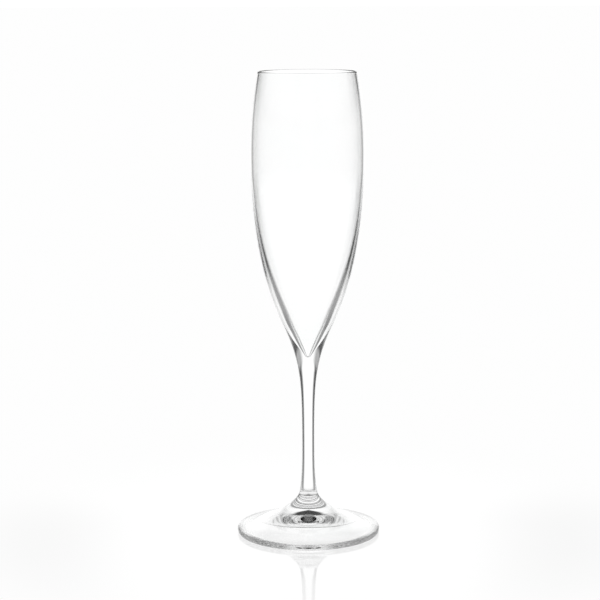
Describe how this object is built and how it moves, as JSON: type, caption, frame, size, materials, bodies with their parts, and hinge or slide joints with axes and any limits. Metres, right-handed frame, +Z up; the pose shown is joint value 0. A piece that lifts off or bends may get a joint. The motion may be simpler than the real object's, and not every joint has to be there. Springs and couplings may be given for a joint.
{
  "type": "champagne flute",
  "caption": "Tall clear glass flute with a tulip bowl, a slender drawn stem and a wide round foot, for sparkling wine.",
  "frame": {"origin": "centre of the flat ring under the foot, on the surface that the flute stands on", "axes": "+Z up along the flute's axis, from the foot to the lip; the flute is round, so +X and +Y are any two horizontal directions"},
  "size_m": [0.0712, 0.0712, 0.23],
  "materials": {
    "bowl_glass": "clear, fire polished",
    "stem_glass": "clear, drawn and fire polished",
    "foot_glass": "clear, pressed and fire polished"
  },
  "bodies": {
    "root": {"bowl": "bowl_glass", "stem": "stem_glass", "foot": "foot_glass"}
  },
  "joints": []
}
